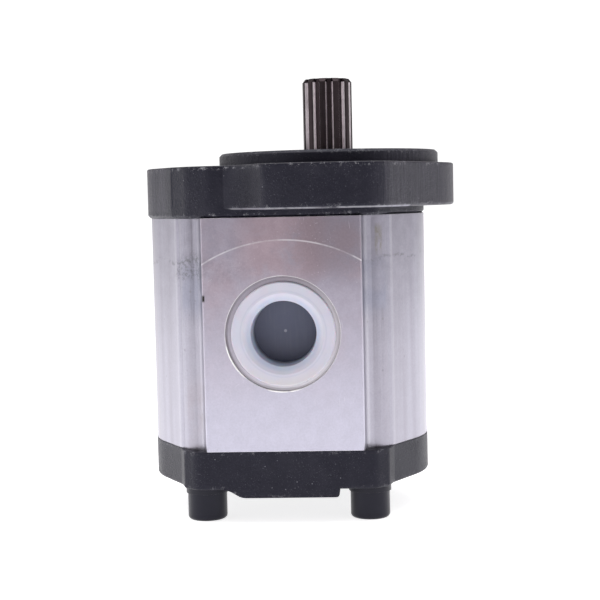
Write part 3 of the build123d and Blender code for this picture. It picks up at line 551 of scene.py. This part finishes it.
def milky_plastic():
    """Moulded polyethylene, so thin in the cup's floor that the dark port shows through; painted
    shade also darkens the cup towards its floor.
    """
    s = Shader("plug_plastic")
    depth = s.math("SUBTRACT", BOSS_Y, s.math("ABSOLUTE", s.y))
    radius = s.around(PLUG_X, PLUG_Z)
    halo = s.both(
        s.band(radius, HALO_R, 1.2, 1.2),
        s.ramp(depth, -0.9, -0.2),
        s.ramp(s.noise(0.12, 3), 0.35, 0.6, 0.55, 1.0),
    )
    wall = s.ramp(depth, 1.0, 6.0)
    # Painted shade: the cup's wall darker towards its floor.
    low = s.ramp(depth, 5.0, 11.6)
    cup_floor = s.both(s.ramp(depth, *CUP_FLOOR_DEPTH), s.ramp(radius, *CUP_FLOOR_R, 1.0, 0.0))
    gate = s.ramp(radius, *GATE_R, 1.0, 0.0)
    dip = s.both(s.band(radius, DIP_R, 0.12, 0.3), s.ramp(depth, -0.9, -0.2, 1.0, 0.0))
    streaks = s.ramp(s.noise(1.0, 3, 0.6, at=s.stretched(0.9, 0.0, 0.06)), 0.45, 0.65)
    cloud = s.noise(0.1, 4, 0.6)
    white = s.mix(cloud, (0.56, 0.555, 0.65), (0.645, 0.64, 0.725))
    yellow = s.both(
        s.ramp(s.z, PLUG_Z - 6.0, PLUG_Z - 17.0),
        s.ramp(radius, 13.5, 17.5),
        s.ramp(cloud, 0.35, 0.6),
    )
    white = s.over(white, (0.62, 0.58, 0.50), yellow, 0.3)
    colour = s.over(white, (0.44, 0.50, 0.64), halo, 0.7)
    colour = s.mix(wall, colour, (0.50, 0.57, 0.68))
    colour = s.mix(low, colour, (0.15, 0.155, 0.18))
    smoke = s.mix(s.noise(0.16, 4, 0.6), (0.082, 0.093, 0.152), (0.104, 0.111, 0.165))
    smoke = s.over(smoke, (0.17, 0.175, 0.22), streaks, 0.1)
    colour = s.over(colour, (0.45, 0.47, 0.58), dip, 0.3)
    colour = s.mix(cup_floor, colour, smoke)
    colour = s.mix(s.both(cup_floor, gate, 0.6), colour, (0.4, 0.4, 0.45))
    dirt = s.both(
        s.ramp(s.cells(0.33), 0.03, 0.06, 1.0, 0.0),
        s.ramp(s.noise(0.15, 2), 0.55, 0.6),
    )
    colour = s.over(colour, (0.2, 0.19, 0.18), dirt, 0.4)
    height = s.math("ADD", s.noise(0.5, 2), s.math("MULTIPLY", s.noise(2.5, 2), 0.3))
    return s.finish(
        base_color=colour,
        roughness=s.blend(cloud, 0.34, 0.46),
        subsurface_weight=s.math("SUBTRACT", 0.35, s.math("MULTIPLY", low, 0.35)),
        subsurface_scale=0.0015,
        normal=s.bump(height, 0.05, s.eased(0.3)),
    )


def grained(name, dark, light, metallic, roughness, scale=0.8, stretch=(1, 1, 1)):
    """A plain engineering surface: two tones of the same colour in a grain."""
    s = Shader(name)
    grain = s.noise(scale, 4, 0.6, at=s.stretched(*stretch))
    return s.finish(
        base_color=s.mix(grain, dark, light),
        metallic=metallic,
        roughness=s.blend(grain, roughness - 0.06, roughness + 0.08),
        normal=s.bump(grain, GRAIN_DEPTH),
    )


give(cast_iron(), "front_cover", "rear_cover")
give(body_aluminium(), "pump_body")
give(dark_steel(), "drive_gear_shaft", "driven_gear_shaft")
give(black_oxide("screw_steel", (0.004, 0.004, 0.0065), 0.3), "cap_screws")
give(black_oxide("washer_steel", (0.007, 0.007, 0.009), 0.36), "lock_washers")
give(black_oxide("ring_steel", (0.018, 0.018, 0.02), 0.4), "retaining_ring")
give(black_oxide("seal_case", (0.014, 0.014, 0.016), 0.5), "shaft_seal_case")
give(milky_plastic(), "inlet_plug", "outlet_plug")
give(
    grained("bearing_block", (0.55, 0.55, 0.57), (0.72, 0.72, 0.74), 0.9, 0.4),
    "front_bearing_block",
    "rear_bearing_block",
)
give(
    grained("bush", (0.38, 0.22, 0.1), (0.52, 0.33, 0.16), 1.0, 0.32, 1.5),
    *[f"{end}_{gear}_bush" for end in ("front", "rear") for gear in ("drive", "driven")],
)
give(
    grained("seal_rubber", (0.012, 0.012, 0.014), (0.03, 0.03, 0.032), 0.0, 0.55, 2.0),
    *[f"{end}_{seal}_seal" for end in ("front", "rear") for seal in ("body", "pressure")],
    "shaft_seal_lip",
)
give(
    grained("backup_plastic", (0.62, 0.58, 0.48), (0.74, 0.71, 0.62), 0.0, 0.45, 1.0),
    "front_backup_ring",
    "rear_backup_ring",
)
give(
    grained("spring_steel", (0.4, 0.4, 0.42), (0.62, 0.62, 0.64), 1.0, 0.28, 2.0),
    "shaft_seal_spring",
)
give(
    grained("dowel_steel", (0.5, 0.5, 0.52), (0.68, 0.68, 0.7), 1.0, 0.25, 1.0, (2, 2, 0.1)),
    "front_dowels",
    "rear_dowels",
)

# ================= Camera =================

YAW, PITCH, ROLL = (math.radians(angle) for angle in (-3.07, 4.08, -1.27))
CAMERA_PLACE = Vector((0.0173, -0.5453, -0.0119))
FOCAL_PX = 1432.0
FRAME_PX = 600.0
SENSOR = 36.0
CLIP_START = 0.01
CLIP_END = 50

forward = Vector(
    (math.sin(YAW) * math.cos(PITCH), math.cos(YAW) * math.cos(PITCH), -math.sin(PITCH))
)
level = Vector((math.cos(YAW), -math.sin(YAW), 0))
upward = level.cross(forward)
right = math.cos(ROLL) * level + math.sin(ROLL) * upward
up = -math.sin(ROLL) * level + math.cos(ROLL) * upward
camera_data = bpy.data.cameras.new("camera")
camera_data.sensor_width = SENSOR
camera_data.lens = FOCAL_PX * SENSOR / FRAME_PX
camera_data.clip_start = CLIP_START
camera_data.clip_end = CLIP_END
camera = bpy.data.objects.new("camera", camera_data)
bpy.context.scene.collection.objects.link(camera)
turn = Matrix((right, up, -forward)).transposed()
camera.matrix_world = Matrix.Translation(CAMERA_PLACE) @ turn.to_4x4()
bpy.context.scene.camera = camera

# ================= Floor, backdrop and light =================


FLOOR_GLOW = 0.80
FLOOR_HALF = 12.0
BACKDROP_GLOW = 1.1
DOME_R = 11.0
DOME_RINGS = 12
DOME_SPOKES = 32


def mesh_object(name, points, faces, material):
    mesh = bpy.data.meshes.new(name)
    mesh.from_pydata(points, [], faces)
    mesh.materials.append(material)
    made = bpy.data.objects.new(name, mesh)
    bpy.context.scene.collection.objects.link(made)
    return made


def pale_floor():
    """A white acrylic table, lit a little from below."""
    s = Shader("floor")
    tone = s.mix(s.noise(0.01, 3), (0.80, 0.80, 0.81), (0.84, 0.84, 0.85))
    return s.finish(
        base_color=tone,
        roughness=0.7,
        specular_ior_level=0.2,
        emission_color=(1.0, 1.0, 1.0),
        emission_strength=FLOOR_GLOW,
    )


def white_backdrop():
    s = Shader("backdrop")
    return s.finish(
        base_color=(0, 0, 0),
        specular_ior_level=0,
        emission_color=(1, 1, 1),
        emission_strength=BACKDROP_GLOW,
    )


def dome_point(ring, spoke):
    rise, turn = math.pi / 2 * ring / DOME_RINGS, 2 * math.pi * spoke / DOME_SPOKES
    out = DOME_R * math.cos(rise)
    return out * math.cos(turn), out * math.sin(turn), floor_z + DOME_R * math.sin(rise)


floor_z = cad_low.z
floor = mesh_object(
    "floor",
    [(x * FLOOR_HALF, y * FLOOR_HALF, floor_z) for x, y in ((-1, -1), (1, -1), (1, 1), (-1, 1))],
    [(0, 1, 2, 3)],
    pale_floor(),
)
dome_points = [
    dome_point(ring, spoke) for ring in range(DOME_RINGS + 1) for spoke in range(DOME_SPOKES)
]
dome_faces = [
    (
        ring * DOME_SPOKES + spoke,
        ring * DOME_SPOKES + (spoke + 1) % DOME_SPOKES,
        (ring + 1) * DOME_SPOKES + (spoke + 1) % DOME_SPOKES,
        (ring + 1) * DOME_SPOKES + spoke,
    )
    for ring in range(DOME_RINGS)
    for spoke in range(DOME_SPOKES)
]
backdrop = mesh_object("backdrop", dome_points, dome_faces, white_backdrop())
backdrop.visible_diffuse = False
backdrop.visible_glossy = False
backdrop.visible_transmission = False
backdrop.visible_shadow = False

SOFTBOX_PLACE = Vector((0.0, 0.1, 1.0))
SOFTBOX_SIDE = 1.2
SOFTBOX_POWER = 8

softbox_data = bpy.data.lights.new("softbox_top", "AREA")
softbox_data.shape = "RECTANGLE"
softbox_data.size, softbox_data.size_y = SOFTBOX_SIDE, SOFTBOX_SIDE
softbox_data.energy = SOFTBOX_POWER
softbox = bpy.data.objects.new("softbox_top", softbox_data)
bpy.context.scene.collection.objects.link(softbox)
softbox.location = SOFTBOX_PLACE
to_pump = (cad_low + cad_high) / 2 - SOFTBOX_PLACE
softbox.rotation_euler = to_pump.to_track_quat("-Z", "Y").to_euler()

WALL_LEFT = 1.1
WALL_RIGHT = 0.7
WALL_BEHIND = 0.8
CEILING = 0.7
ROOM = 0.10
ROOM_TINT = (1.0, 0.8, 0.92)


def studio_world():
    """Light walls to the left, right and behind, a light ceiling, and the dim room in front."""
    world = bpy.data.worlds.new("studio")
    world.use_nodes = True
    tree = world.node_tree

    def ramp(value, low, high, to_low, to_high):
        inputs = {"Value": value, 1: low, 2: high, 3: to_low, 4: to_high}
        return add_node(tree, "MapRange", inputs, interpolation_type="SMOOTHSTEP")

    def combine(operation, a, b):
        return add_node(tree, "Math", {0: a, 1: b}, operation=operation)

    direction = tree.nodes.new("ShaderNodeTexCoord").outputs["Generated"]
    parts = tree.nodes.new("ShaderNodeSeparateXYZ")
    tree.links.new(direction, parts.inputs[0])
    x, y, z = parts.outputs
    left = ramp(x, -0.9, -0.35, WALL_LEFT, 0.0)
    right = ramp(x, 0.35, 0.9, 0.0, WALL_RIGHT)
    ceiling = ramp(z, 0.35, 0.9, 0.0, CEILING)
    behind = ramp(y, 0.6, 0.95, 0.0, WALL_BEHIND)
    walls = combine("MAXIMUM", combine("ADD", left, right), ceiling)
    walls = combine("MAXIMUM", walls, behind)
    background = tree.nodes["Background"]
    background.inputs["Color"].default_value = (1.0, 1.0, 1.0, 1.0)
    tree.links.new(walls, background.inputs["Strength"])
    room = add_node(tree, "Background", {"Color": ROOM_TINT, "Strength": ROOM})
    both = tree.nodes.new("ShaderNodeAddShader")
    tree.links.new(background.outputs[0], both.inputs[0])
    tree.links.new(room, both.inputs[1])
    tree.links.new(both.outputs[0], tree.nodes["World Output"].inputs["Surface"])
    bpy.context.scene.world = world


studio_world()

bpy.context.scene.view_settings.view_transform = "Standard"
